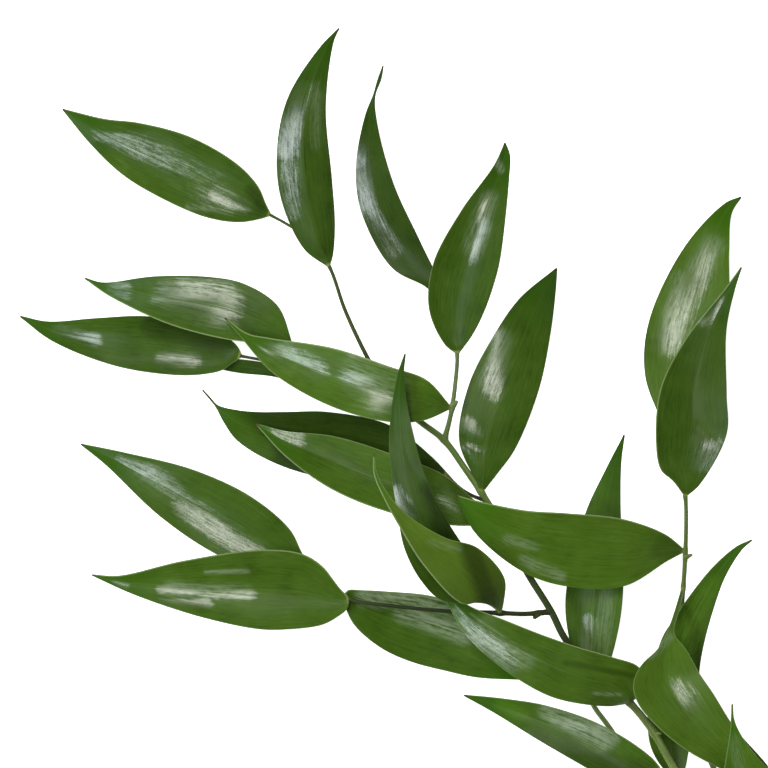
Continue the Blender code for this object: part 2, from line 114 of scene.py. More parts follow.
def settledMesh(thing, name, sharpFrom):
    # the mesh with its modifiers applied, smooth but for edges sharper than an angle in degrees
    bpy.context.view_layer.update()
    graph = bpy.context.evaluated_depsgraph_get()
    mesh = bpy.data.meshes.new_from_object(thing.evaluated_get(graph))
    mesh.name = name
    mesh.shade_smooth()
    mesh.set_sharp_from_angle(angle=math.radians(sharpFrom))
    return mesh


class Shade:
    # a socket of a material that can be added, multiplied and so on

    def __init__(self, tree, node=None, output=0):
        self.tree = tree
        self.node = node
        self.socket = node.outputs[output] if node else None

    def add(self, kind, settings=None, sockets=None, output=0):
        # any node: its settings are set first, then the values or links of its sockets
        node = self.tree.nodes.new(kind)
        for name, value in (settings or {}).items():
            setattr(node, name, value)
        for name, value in (sockets or {}).items():
            if isinstance(value, Shade):
                self.tree.links.new(value.socket, node.inputs[name])
            else:
                node.inputs[name].default_value = value
        return Shade(self.tree, node, output)

    def pick(self, output):
        return Shade(self.tree, self.node, output)

    def sum(self, operation, first, second=0.0):
        return self.add("ShaderNodeMath", {"operation": operation}, {0: first, 1: second})

    def __add__(self, other):
        return self.sum("ADD", self, other)

    def __radd__(self, other):
        return self.sum("ADD", other, self)

    def __sub__(self, other):
        return self.sum("SUBTRACT", self, other)

    def __rsub__(self, other):
        return self.sum("SUBTRACT", other, self)

    def __mul__(self, other):
        return self.sum("MULTIPLY", self, other)

    def __rmul__(self, other):
        return self.sum("MULTIPLY", other, self)

    def __abs__(self):
        return self.sum("ABSOLUTE", self)

    def rises(self, low, high):
        # 0 below low, 1 above high
        settings = {"interpolation_type": "SMOOTHSTEP"}
        sockets = {"Value": self, "From Min": low, "From Max": high}
        return self.add("ShaderNodeMapRange", settings, sockets)

    def falls(self, low, high):
        return 1 - self.rises(low, high)

    def blend(self, first, second, factor):
        # two colours by a factor
        first = (*first, 1.0) if isinstance(first, tuple) else first
        second = (*second, 1.0) if isinstance(second, tuple) else second
        return self.add("ShaderNodeMix", {"data_type": "RGBA"}, {0: factor, 6: first, 7: second}, 2)

    def scaled(self, colour, factor):
        settings = {"operation": "SCALE"}
        return self.add("ShaderNodeVectorMath", settings, {0: colour, "Scale": factor})

    def kept(self, name):
        # a value that the mesh holds
        return self.add("ShaderNodeAttribute", {"attribute_name": name}, output="Fac")

    def streaks(self, vector, detail):
        sockets = {"Vector": vector, "Scale": 1.0, "Detail": detail, "Roughness": 0.55}
        return self.add("ShaderNodeTexNoise", {"noise_dimensions": "3D"}, sockets)

    def bump(self, height, distance):
        sockets = {"Strength": 1.0, "Distance": distance, "Height": height}
        return self.add("ShaderNodeBump", None, sockets, "Normal")


def startFinish(name):
    material = bpy.data.materials.new(name)
    material.use_nodes = True
    tree = material.node_tree
    return material, tree.nodes["Principled BSDF"], Shade(tree)


def feed(shader, sockets):
    # links or values for the shader's own sockets
    for name, value in sockets.items():
        if isinstance(value, Shade):
            value.tree.links.new(value.socket, shader.inputs[name])
        else:
            shader.inputs[name].default_value = value


# The stems and twigs. Each route runs outwards: pixel x, pixel y, height in millimetres. widths are
# millimetres at both ends. tones are bark colours at shares of the length, with painted shade on the
# main stem. beside is the side of the main stem's foot that a stem starts on.
growth = {}
growth["main"] = dict(
    stem="stem_main", widths=(2.9, 1.9),
    route=[
        (885, 1088, 1.5), (850, 1035, 4.5), (790, 945, 12), (730, 855, 19), (674, 768, 24.5),
        (652, 730, 26), (631, 704, 27), (598, 675, 28), (566, 640, 29), (551, 611, 29.5), (528, 574, 30),
        (508, 537, 31), (487, 501, 32), (466, 470, 33), (444, 440, 34), (422, 423, 34), (395, 402, 34),
    ],
    tonesAndShade=[
        (0.0, (0.17, 0.24, 0.08)), (0.42, (0.23, 0.31, 0.09)), (0.5, (0.16, 0.22, 0.06)),
        # from 0.6 to 0.72: darker bark, and painted shade where leaves lie over the stem
        (0.6, (0.036, 0.042, 0.014)), (0.72, (0.045, 0.07, 0.018)), (0.8, (0.14, 0.21, 0.05)),
        (1.0, (0.15, 0.23, 0.06)),
    ],
)
growth["top"] = dict(
    stem="stem_main", widths=(1.5, 0.9),
    route=[
        (395, 402, 34), (380, 380, 34), (365, 353, 33), (345, 310, 31), (329, 266, 28), (308, 238, 24),
        (287, 224, 21), (269, 214, 20),
    ],
    tonesAndShade=[(0.0, (0.045, 0.065, 0.015)), (0.4, (0.06, 0.085, 0.02)), (1.0, (0.07, 0.1, 0.02))],
)
growth["left"] = dict(
    stem="stem_main", widths=(1.5, 0.9),
    route=[(395, 402, 34), (350, 385, 31), (300, 368, 28), (262, 360, 25), (240, 355.8, 22.5)],
    tonesAndShade=[(0.0, (0.08, 0.11, 0.03)), (1.0, (0.05, 0.06, 0.025))],
)
growth["low"] = dict(
    stem="stem_main", widths=(1.2, 0.9),
    route=[(487, 501, 32), (473, 496, 31), (460, 488, 29), (447, 475, 27)],
    tonesAndShade=[(0.0, (0.035, 0.035, 0.014)), (0.7, (0.05, 0.05, 0.02)), (1.0, (0.16, 0.17, 0.04))],
)
growth["side"] = dict(
    stem="stem_main", widths=(1.6, 1.0),
    route=[
        (550, 612, 29.5), (525, 614, 30), (500, 613, 30), (445, 611, 29), (393, 606, 27), (352, 600, 24.5),
        (332, 588, 22), (314, 569, 19.5),
    ],
    tonesAndShade=[
        (0.0, (0.028, 0.034, 0.008)), (0.6, (0.024, 0.034, 0.008)), (0.93, (0.05, 0.07, 0.02)),
        (1.0, (0.09, 0.12, 0.03)),
    ],
)
growth["upright"] = dict(
    stem="stem_main", widths=(1.6, 1.0),
    route=[
        (444, 440, 34), (449, 422, 36), (452, 407, 37.5), (455, 385, 38), (457, 353, 37), (452, 330, 34),
        (443, 305, 31.5),
    ],
    tonesAndShade=[(0.0, (0.15, 0.22, 0.06)), (0.4, (0.14, 0.19, 0.07)), (1.0, (0.12, 0.15, 0.06))],
)
growth["second"] = dict(
    stem="stem_second", widths=(2.3, 1.6), beside=-1,
    route=[
        (792, 968, 8.5), (736, 898, 12), (682, 834, 14), (632, 762, 16), (609, 727, 17.5), (594, 706, 18),
        (589, 692, 18),
    ],
    tonesAndShade=[(0.0, (0.15, 0.21, 0.07)), (0.7, (0.19, 0.25, 0.09)), (1.0, (0.19, 0.25, 0.09))],
)
growth["third"] = dict(
    stem="stem_third", widths=(2.4, 1.2), beside=1,
    route=[
        (814, 958, 9), (768, 862, 11.5), (715, 770, 14), (692, 700, 15), (681, 640, 18), (683, 602, 20),
        (686, 551, 22), (686, 497, 20.5), (680, 465, 17), (673, 440, 14),
    ],
    tonesAndShade=[(0.0, (0.15, 0.21, 0.06)), (0.75, (0.12, 0.17, 0.04)), (1.0, (0.11, 0.16, 0.04))],
)
# The scale leaves at the nodes: the shoot, the pixel, and the way that the scale's tip points.
scales = [
    ("upright", (453, 407), (1.0, 0.9)),
    ("side", (538, 613), (-0.7, -1.0)),
    ("third", (686, 557), (1.0, 0.3)),
    ("main", (654, 733), (0.9, -0.2)),
    ("main", (444, 440), (0.5, 1.0)),
]
# Lengths are millimetres. samples and fineness set how fine a shoot's route is.
stemMake = dict(
    step=0.9, sides=20, samples=5.0, fineness=12, gap=0.35, sharedPoints=2, overTable=0.02,
    swelling=0.22, swellingLength=1.3, flare=0.45, flareLength=1.6, fluting=(0.03, 0.015),
    scaleLength=2.8, scaleWidth=2.3, scaleTip=1.2, scaleStandsOut=0.36, scaleRise=0.4,
    scaleBulge=0.55, scaleFlat=0.62, scaleHook=0.25, scaleTone=1.2, sharpFrom=40,
)


class Shoot:
    # a stem or twig: its fine route, and its radius along it

    def __init__(self, points, widths):
        rough = np.linalg.norm(np.diff(points, axis=0), axis=1).sum()
        count = stemMake["fineness"] * max(5, int(rough / (stemMake["samples"] * mm)))
        self.fine = smoothPath(points, count)
        self.radii = np.linspace(*widths, count) * mm / 2
        self.length = np.linalg.norm(np.diff(self.fine, axis=0), axis=1).sum()
        self.nodes = []  # the shares of its length where leaves and scales grow

    def nearest(self, pixelPlace):
        there = atPixel(*pixelPlace)
        return int(np.argmin(np.linalg.norm(self.fine[:, :2] - there[:2], axis=1)))

    def addNode(self, pixelPlace):
        index = self.nearest(pixelPlace)
        self.nodes.append(index / (len(self.fine) - 1))
        return index

    def heading(self, index):
        before = self.fine[max(index - 1, 0)]
        after = self.fine[min(index + 1, len(self.fine) - 1)]
        return (after - before) / np.linalg.norm(after - before)

    def seat(self, pixelPlace, towards, gap):
        # where a leaf that points a given way starts, with its joint a little inside the bark
        index = self.addNode(pixelPlace)
        heading = self.heading(index)
        if index >= len(self.fine) - stemMake["fineness"]:
            return self.fine[-1] + heading * gap
        outward = towards - heading * float(np.dot(towards, heading))
        outward /= np.linalg.norm(outward)
        return self.fine[index] + outward * (self.radii[index] + gap)


def besideMain(side, width):
    # points beside the lowest stretch of the main stem, on its left (-1) or right (1)
    places = [atPixel(*point) for point in growth["main"]["route"][: stemMake["sharedPoints"] + 1]]
    reach = ((growth["main"]["widths"][0] + width) / 2 + stemMake["gap"]) * mm
    points = []
    for here, onward in zip(places[:-1], places[1:]):
        ahead = (onward - here)[:2]
        ahead /= np.linalg.norm(ahead)
        points.append(here + np.array([ahead[1], -ahead[0], 0.0]) * reach * side)
    return points


shoots = {}
for name, shoot in growth.items():
    points = [atPixel(*point) for point in shoot["route"]]
    if "beside" in shoot:
        points = besideMain(shoot["beside"], shoot["widths"][0]) + points
    shoots[name] = Shoot(points, shoot["widths"])


# base and tip are picture pixels, and so are the points of the near and the far edge between them.
# heights are millimetres at one third, two thirds and the tip. rise is how steeply the stalk leaves
# the bark, in degrees. lean is how far the far edge stands above the midrib at the base, middle and
# tip. cup is how deep the blade is hollowed, and fold is how far its halves are turned up along the
# midrib. The tone is the leaf's own brightness, but leaf_10's low tone is painted shade. warm turns
# it towards yellow. The near and far edge lines are a painted highlight above 0 and painted shade
# below. The light, sheen, shine and dent strokes give the x and y of both ends, a width in pixels
# and a strength. The light strokes raise or lower the tone: mostly painted shade where a blade curls
# away or lies under others, and painted highlight where a blade catches the light. The sheen strokes
# are a pale painted sheen and highlight, shine is where the wax is glossy, and a dent's strength is
# its depth in millimetres.
leafUsual = dict(
    rise=10, lean=(0, 0, 0), cup=0.1, fold=0.0, toneAndShade=1.0, warm=0.0,
    light=[], paintedSheen=[], shine=[], dents=[],
)
leaves = {}
leaves["leaf_01"] = dict(
    shoot="top", base=(266, 213), tip=(61, 108), heights=(20, 13, 6), lean=(0, 1, 2), cup=0.2,
    near=[(259, 219), (238, 222), (204, 216.5), (150, 192), (119, 172), (89, 143)],
    far=[(265.5, 203), (258, 186), (237, 163.7), (189, 136), (138, 122), (104, 118)],
    toneAndShade=0.85, rims=(0.5, 0.6),
    light=[(95, 152, 180, 208, 9, 0.08), (250, 190, 262, 206, 6, -0.25)],
    paintedSheen=[(188, 206, 232, 212, 3, 0.6)],
    shine=[(104, 130, 140, 150, 13, 0.6), (140, 152, 215, 190, 22, 0.28), (216, 193, 243, 206, 9, 0.9)],
)
leaves["leaf_02"] = dict(
    shoot="top", base=(329, 266), tip=(339, 28), heights=(30, 31, 26), rise=35, lean=(0, 1, 0), cup=0.0,
    fold=-0.2,
    near=[(304, 249), (281, 199), (277, 148), (288, 97), (319, 48)],
    far=[(333, 255), (335, 224), (332, 179), (326, 107), (334, 41)],
    toneAndShade=0.72, rims=(0.3, -0.6),
    light=[(328, 110, 330, 245, 9, -0.12)],
    paintedSheen=[(317, 86, 315, 145, 5, 0.25)],
    shine=[(300, 88, 287, 150, 12, 0.85), (287, 150, 294, 212, 9, 0.5)],
)
leaves["leaf_03"] = dict(
    shoot="upright", base=(442, 303), tip=(383, 65), heights=(27, 25, 14), lean=(0, 3, 1), fold=0.1,
    near=[(427, 288), (392, 268), (361, 211), (356, 165), (365, 115), (373.2, 94), (377, 80)],
    far=[(440, 284), (420, 241), (394, 185), (378, 127), (375.2, 96), (381.5, 78)],
    toneAndShade=0.54, rims=(0.3, -0.5),
    shine=[(362, 150, 368, 205, 10, 0.8), (368, 205, 395, 250, 9, 0.5)],
)
leaves["leaf_04"] = dict(
    shoot="upright", base=(457, 353), tip=(505, 143), heights=(39.5, 42, 33), rise=40, lean=(0, 2, -2),
    cup=0.2, fold=0.1,
    near=[(445, 345), (429, 310), (433, 264), (461, 211), (494, 165)],
    far=[(471, 337), (483, 314), (494, 283), (500, 258), (509, 178), (510, 155)],
    toneAndShade=0.8, rims=(0.5, -0.3),
    paintedSheen=[(496, 161, 501, 170, 4, 0.8), (489, 200, 472, 245, 9, 0.45)],
    shine=[(490, 200, 472, 252, 12, 0.8)],
)
leaves["leaf_05"] = dict(
    shoot="main", base=(484, 490), tip=(557, 268), heights=(34.5, 31, 22), rise=70, lean=(0, 0, -4),
    cup=-0.1,
    near=[(473, 476), (459, 440), (468, 387), (491, 340), (519, 299)],
    far=[(497, 474), (515, 449), (539, 389), (551, 331), (556, 290)],
    toneAndShade=0.84, rims=(0.2, -0.6),
    paintedSheen=[(500, 340, 487, 378, 11, 0.45)],
    shine=[(503, 340, 495, 388, 13, 0.72), (468, 424, 476, 437, 8, 0.9), (470, 448, 480, 460, 7, 0.6)],
    dents=[(461, 439, 482, 446, 4, 0.4)],
)
leaves["leaf_06"] = dict(
    shoot="upright", base=(453, 408), tip=(225, 318), heights=(44, 36, 35), rise=20, fold=0.1,
    near=[(425, 420), (391, 422), (333, 407), (273, 373), (239, 335)],
    far=[(427, 380), (391, 367), (333, 348), (270, 338), (247, 333)],
    toneAndShade=1.1, warm=0.05, rims=(0.5, 1.0),
    paintedSheen=[(306, 339, 352, 352, 3, 0.7), (352, 354, 400, 368, 4, 0.9), (355, 368, 394, 388, 14, 0.4)],
    shine=[(272, 352, 315, 372, 14, 0.8), (355, 384, 397, 406, 17, 0.8)],
)
leaves["leaf_07"] = dict(
    shoot="left", base=(298, 366), tip=(84, 278), heights=(29, 25, 15), rise=60, lean=(0, -1, 2), cup=0.05,
    near=[(290, 345), (272, 343), (237, 341), (194, 332), (158, 320), (107, 295)],
    far=[(292, 342), (278, 306), (245, 284), (212, 277), (155, 276), (102, 282)],
    toneAndShade=0.9, rims=(0.9, 0.3),
    paintedSheen=[(180, 282, 231, 287, 4, 0.9)],
    shine=[(176, 300, 220, 306, 22, 0.95), (112, 286, 124, 291, 9, 0.7)],
)
leaves["leaf_08"] = dict(
    shoot="left", base=(240, 356), tip=(18, 316), heights=(19, 14, 0.35), lean=(0, 1, -1), cup=0.2,
    near=[(232, 363), (222, 370), (205, 374), (175, 375), (115, 366), (51, 341)],
    far=[(237, 346), (225, 336), (190, 323), (145, 316), (94, 318), (46, 321)],
    toneAndShade=0.8, rims=(0.3, 0.2),
    light=[(150, 325, 225, 345, 12, -0.35)],
    shine=[(58, 331, 92, 340, 9, 0.8), (165, 361, 190, 361, 11, 0.75)],
)
leaves["leaf_09"] = dict(
    shoot="left", base=(360, 390), tip=(207, 362), heights=(25, 20, 16), rise=-50, lean=(0, 4, 2), cup=0.2,
    near=[(345, 396), (310, 388), (275, 377), (240, 373), (220, 369)],
    far=[(338, 382), (300, 370), (268, 363), (235, 359), (218, 359)],
    toneAndShade=0.69, rims=(-0.5, 0.2),
    shine=[(250, 368, 270, 370, 4, 0.8)],
)
# leaf_10 lies in shade under its neighbours: its low tone is painted shade, and its light stroke lifts that
# shade towards the tip
leaves["leaf_10"] = dict(
    shoot="low", base=(445, 473), tip=(202, 390), heights=(23, 20, 16), lean=(0, 3, 1), cup=0.16,
    near=[(432, 478), (385, 482), (345, 482), (281, 466), (237, 441), (223, 422), (215, 407), (208.5, 399)],
    far=[(432, 457), (389, 425), (328, 412), (286, 412), (256, 412), (236, 410), (217, 405), (210.5, 398)],
    toneAndShade=0.42, rims=(-0.2, 0.2),
    light=[(222, 415, 262, 450, 14, 0.45)],
)
leaves["leaf_11"] = dict(
    shoot="main", base=(495, 520), tip=(256, 424), heights=(31, 28, 23), rise=5, lean=(0, -1, -1), cup=0.12,
    fold=0.1,
    near=[(480, 525), (449, 525), (391, 513), (333, 490), (286, 457)],
    far=[(480, 505), (444, 475), (389, 453), (333, 436), (285, 431)],
    warm=0.05, rims=(0.8, 0.5),
    light=[(440, 478, 456, 520, 8, 0.25)],
    shine=[(278, 433, 296, 440, 10, 0.7), (440, 480, 455, 520, 9, 0.6)],
)
leaves["leaf_12"] = dict(
    shoot="side", base=(312, 568), tip=(79.5, 444.5), heights=(18, 13, 4), lean=(0, 1, -1), fold=0.1,
    near=[(290, 577), (250, 569), (209, 551), (157, 515), (104, 465)],
    far=[(303, 555), (290, 530), (251, 497), (193, 470), (125, 453)],
    toneAndShade=0.91, rims=(0.3, 0.5),
    shine=[(124, 461, 176, 490, 10, 0.68), (184, 508, 252, 552, 13, 0.78)],
)
leaves["leaf_13"] = dict(
    shoot="side", base=(499.5, 611), tip=(405, 354), heights=(48, 48, 53), rise=0, lean=(0, 1, 2),
    fold=-0.1,
    near=[(487, 604), (442, 600), (423, 583), (405, 550), (397, 510), (389, 441), (397, 376)],
    far=[(498, 594), (465, 548), (432, 493), (413, 433), (404, 376)],
    toneAndShade=0.7, rims=(0.3, -0.4),
    light=[(432, 490, 445, 535, 12, -0.4)],
    shine=[(395, 492, 410, 514, 8, 1.0)],
)
leaves["leaf_14"] = dict(
    shoot="side", base=(349, 600), tip=(91, 575.5), heights=(24, 21, 15), rise=30, lean=(0, 1, 0), cup=0.2,
    fold=0.1,
    near=[(347, 609), (339, 616), (322, 625), (280, 630), (255, 629), (196, 616), (133, 595)],
    far=[(341, 590), (334, 581), (322, 566), (302, 554), (261, 550), (183, 561), (118, 576)],
    toneAndShade=0.98, warm=0.05, rims=(0.3, 0.9),
    paintedSheen=[(205, 572, 248, 571, 2, 0.8), (170, 589, 245, 593, 8, 0.6)],
    shine=[
        (160, 589, 206, 590, 5, 1.1), (160, 604, 208, 605, 5, 1.1), (205, 592, 250, 594, 7, 0.7),
        (116, 582, 124, 586, 5, 0.9),
    ],
)
leaves["leaf_15"] = dict(
    shoot="side", base=(343, 596), tip=(528, 680), heights=(18, 17, 20), rise=-65, lean=(0, 1.5, 0.5),
    near=[(348, 590.5), (362, 590.5), (389, 592), (434, 597), (480, 615), (510, 645)],
    far=[(347, 612), (354, 625), (368, 639), (387, 652), (413, 663), (448, 672), (477, 678)],
    rims=(0.8, 0.2),
    paintedSheen=[(364, 598, 446, 604, 9, 1.2), (404, 612, 464, 634, 11, 1.1)],
    shine=[(380, 598, 440, 603, 7, 1.0), (420, 614, 470, 628, 7, 1.0)],
)
leaves["leaf_16"] = dict(
    shoot="main", base=(630, 702), tip=(440, 587), heights=(38, 34.8, 31), rise=75, lean=(0, 0, -1),
    cup=0.0, fold=-0.2,
    near=[
        (646, 688), (639, 667), (613, 657), (580, 647.5), (542, 634.5), (500, 618), (471, 606.5),
        (454, 595),
    ],
    far=[(609, 706), (556, 698), (518, 679), (481, 651), (462, 630), (447, 602)],
    toneAndShade=0.97, warm=0.05, rims=(0.9, 0.3),
    light=[(565, 662, 632, 675, 3, -0.3)],
    paintedSheen=[
        (455, 614, 474, 640, 7, 0.5), (474, 634, 526, 660, 9, 0.5), (594, 693, 620, 694, 2, 0.6),
        (471, 614, 519, 648, 1.5, 0.45),
    ],
    shine=[(458, 616, 512, 664, 11, 0.6)],
)
leaves["leaf_17"] = dict(
    shoot="side", base=(500, 612), tip=(374, 454), heights=(53, 56, 55), rise=65, lean=(0, -2, 0), cup=0.2,
    near=[(492, 606), (477, 602), (462, 603), (424, 565), (400, 527), (385, 500), (374, 474)],
    far=[(504, 600), (504, 577), (477, 547), (445, 537), (407, 514), (388, 493), (377, 472)],
    toneAndShade=1.07, warm=0.35, rims=(0.9, 0.5),
    # painted shade: the blade's base half curls away from the light and lies dark
    light=[(470, 546, 490, 600, 13, -0.68), (484, 556, 502, 602, 14, -0.42)],
    paintedSheen=[(430, 541, 458, 548, 4, 0.3)],
)
leaves["leaf_18"] = dict(
    shoot="third", base=(684, 588), tip=(800, 830), heights=(41, 41, 28), rise=50, lean=(0, -1, 0),
    fold=0.1,
    near=[
        (675, 610), (668, 629), (657, 649), (641, 664), (632.5, 683), (637, 702), (658, 727), (687, 750),
        (740, 780),
    ],
    far=[(679, 611), (674, 633), (685, 648), (699, 673), (712, 692), (734, 727), (767, 765), (785, 793)],
    toneAndShade=1.1, warm=0.1, rims=(0.6, 0.4),
    light=[(684, 596, 672, 632, 6, -0.25), (648, 656, 671, 636, 8, -0.18)],
    paintedSheen=[(650, 654, 668, 637, 6, 0.45)],
    shine=[(672, 694, 700, 722, 18, 0.65)],
)
leaves["leaf_19"] = dict(
    shoot="third", base=(686, 551), tip=(456, 495), heights=(34, 40, 41), rise=25, lean=(0, 2, 1), cup=0.12,
    near=[(668, 561), (625, 586), (572, 587), (527, 574), (476, 534)],
    far=[(665, 534), (623, 519), (567, 513), (524, 510), (471, 499)],
    toneAndShade=1.14, warm=0.08, rims=(0.2, 0.9),
    light=[(664, 548, 682, 551, 16, -0.3)],
    paintedSheen=[(507, 539, 534, 546, 5, 0.6), (524, 560, 560, 576, 6, 0.6)],
)
leaves["leaf_20"] = dict(
    shoot="second", base=(591, 690), tip=(625, 435), heights=(19.5, 19.5, 15), lean=(0, 3, 1), cup=0.2,
    fold=-0.1,
    near=[(578, 672), (566, 615), (569, 575), (586, 513), (605, 472)],
    far=[(605, 676), (620, 623), (624, 570), (621, 510), (622, 462)],
    toneAndShade=1.09, rims=(0.2, -0.5),
    light=[(617, 510, 624, 450, 16, -0.35)],
    paintedSheen=[(607, 600, 603, 655, 9, 0.4), (590, 624, 589, 652, 5, 0.5)],
    shine=[(589, 622, 588, 650, 8, 1.2)],
)
leaves["leaf_21"] = dict(
    shoot="main", base=(690, 792), tip=(464, 696), heights=(25, 20, 18), rise=30, fold=0.1,
    near=[(672, 802), (630, 793), (586, 768), (539, 741), (495, 714)],
    far=[(671, 781), (651, 757), (601, 725), (546, 706), (503, 699)],
    toneAndShade=1.03, rims=(0.2, 0.6),
    light=[(502, 706, 522, 717, 8, 0.3), (540, 745, 645, 780, 15, -0.38)],
    paintedSheen=[(550, 711, 604, 743, 10, 0.95), (600, 728, 614, 738, 6, 0.8)],
    shine=[(546, 708, 588, 730, 10, 0.8), (592, 732, 612, 742, 9, 1)],
)
leaves["leaf_22"] = dict(
    shoot="main", base=(681, 780), tip=(752, 540), heights=(21, 24, 31), rise=-80,
    near=[
        (667, 773), (652, 750), (648, 725), (651, 680), (663, 637), (676, 617), (687, 600), (713, 567),
        (737, 546),
    ],
    far=[(686, 768), (690, 748), (699, 714), (700, 671), (705, 642), (716, 603), (726, 576), (742, 550)],
    toneAndShade=0.97, rims=(0.5, -0.6),
    light=[(698, 655, 706, 675, 6, -0.35), (680, 640, 712, 585, 10, 0.25)],
)
leaves["leaf_23"] = dict(
    shoot="third", base=(672, 437), tip=(743, 196), heights=(10, 7, 0.45), lean=(0, 2, -2),
    near=[(662, 420), (646, 375), (650, 321), (686, 246), (727, 202)],
    far=[(688, 425), (716, 380), (730, 310), (731, 250), (734, 212)],
    toneAndShade=1.16, warm=0.1, rims=(-0.3, 0.3),
    paintedSheen=[(717, 246, 700, 266, 10, 0.55), (680, 276, 671, 326, 7, 0.45)],
    shine=[(714, 242, 690, 285, 17, 0.9), (688, 285, 668, 338, 18, 0.85)],
)
leaves["leaf_24"] = dict(
    shoot="third", base=(686, 497), tip=(742, 267), heights=(25, 21, 21), rise=35, lean=(0, 1, 2), fold=0.1,
    near=[(673, 481), (661, 470), (656, 440), (661, 388), (686, 339), (726, 288)],
    far=[(700, 485), (727, 434), (727, 394), (727, 330), (736, 288)],
    toneAndShade=0.75, rims=(0.9, -0.5),
    shine=[(705, 318, 722, 305, 9, 0.8), (700, 462, 714, 450, 12, 0.6)],
    dents=[(698, 428, 724, 446, 6, 0.3)],
)
leaves["leaf_25"] = dict(
    shoot="main", base=(777, 925), tip=(731, 703), heights=(33, 44, 48), rise=45, cup=0.14,
    near=[(762, 905), (733, 855), (719, 800), (724, 762), (729, 728)],
    far=[(785, 905), (793, 850), (782, 785), (757, 757), (740, 734), (733, 718)],
    toneAndShade=1.13, warm=0.1, rims=(0.6, 0.3),
    paintedSheen=[(732, 738, 740, 775, 6, 0.35)],
)
leaves["leaf_26"] = dict(
    shoot="second", base=(676, 838), tip=(478, 905), heights=(16, 12, 5), lean=(0, 2, 1), cup=0.14,
    near=[(660, 862), (610, 895), (550, 905), (505, 906)],
    far=[(652, 832), (600, 842), (550, 866), (505, 892)],
    rims=(0.4, 0.5),
    shine=[(540, 880, 600, 870, 12, 0.8)],
)
leaves["leaf_27"] = dict(
    shoot="main", base=(745, 878), tip=(935, 745), heights=(20, 17, 9), rise=20, lean=(0, -2, -1), cup=0.14,
    near=[(760, 852), (800, 806), (855, 772), (905, 753)],
    far=[(780, 878), (840, 855), (890, 810), (922, 770)],
    warm=0.05, rims=(0.4, 0.5),
    shine=[(800, 840, 860, 800, 12, 0.8)],
)
leaves["leaf_28"] = dict(
    shoot="third", base=(754, 838), tip=(893, 655), heights=(13, 12, 7), lean=(0, 2, 1), cup=0.14,
    near=[(756, 812), (778, 760), (825, 705), (868, 670)],
    far=[(776, 826), (825, 785), (866, 730), (886, 685)],
    toneAndShade=0.95, rims=(0.4, -0.3),
    shine=[(800, 770, 840, 720, 12, 0.8)],
)
leaves["leaf_29"] = dict(
    shoot="second", base=(748, 913), tip=(566, 1032), heights=(11, 9, 4), lean=(0, 2, 1), cup=0.14,
    near=[(740, 944), (700, 991), (650, 1020), (600, 1032)],
    far=[(720, 912), (670, 932), (620, 972), (585, 1010)],
    rims=(0.4, 0.5),
    shine=[(640, 990, 690, 960, 12, 0.8)],
)
leaves["leaf_30"] = dict(
    shoot="third", base=(812, 955), tip=(984, 838), heights=(9, 8, 4), lean=(0, -2, -1), cup=0.14,
    near=[(822, 922), (860, 880), (912, 850), (956, 840)],
    far=[(840, 950), (890, 930), (940, 890), (972, 856)],
    rims=(0.4, 0.5),
    shine=[(860, 920, 910, 880, 12, 0.8)],
)
# Lengths are millimetres. cupLevel and foldLevel keep a bent blade's middle height where it was.
# waves and lumps are turns along the blade, then the shifts that make each leaf and side differ.
# calmEnds, stalkTo and tipFrom are shares of the length, and strokeEdge is in stroke widths.
bladeMake = dict(
    lengthSteps=96, widthSteps=28, crowding=0.4, edgeSamples=81, stalkWidth=1.0, tipWidth=0.5,
    cupLevel=0.35, foldLevel=0.5, fullLeanWidth=5.0, sunkInBark=0.25, calmEnds=(0.2, 0.25),
    waveHeight=0.3, waves=(1.9, 0.37, 0.2), lumpHeight=0.1, lumps=(2.6, 0.61, 0.5),
    thickest=0.95, stalkTo=(0.005, 0.05), stalkRound=0.45, blade=0.34, edge=0.2,
    midrib=0.2, midribWidth=0.9, tipFrom=(0.9, 1.0), tipThins=0.4, strokeEdge=(0.3, 1.5), sharpFrom=50,
)


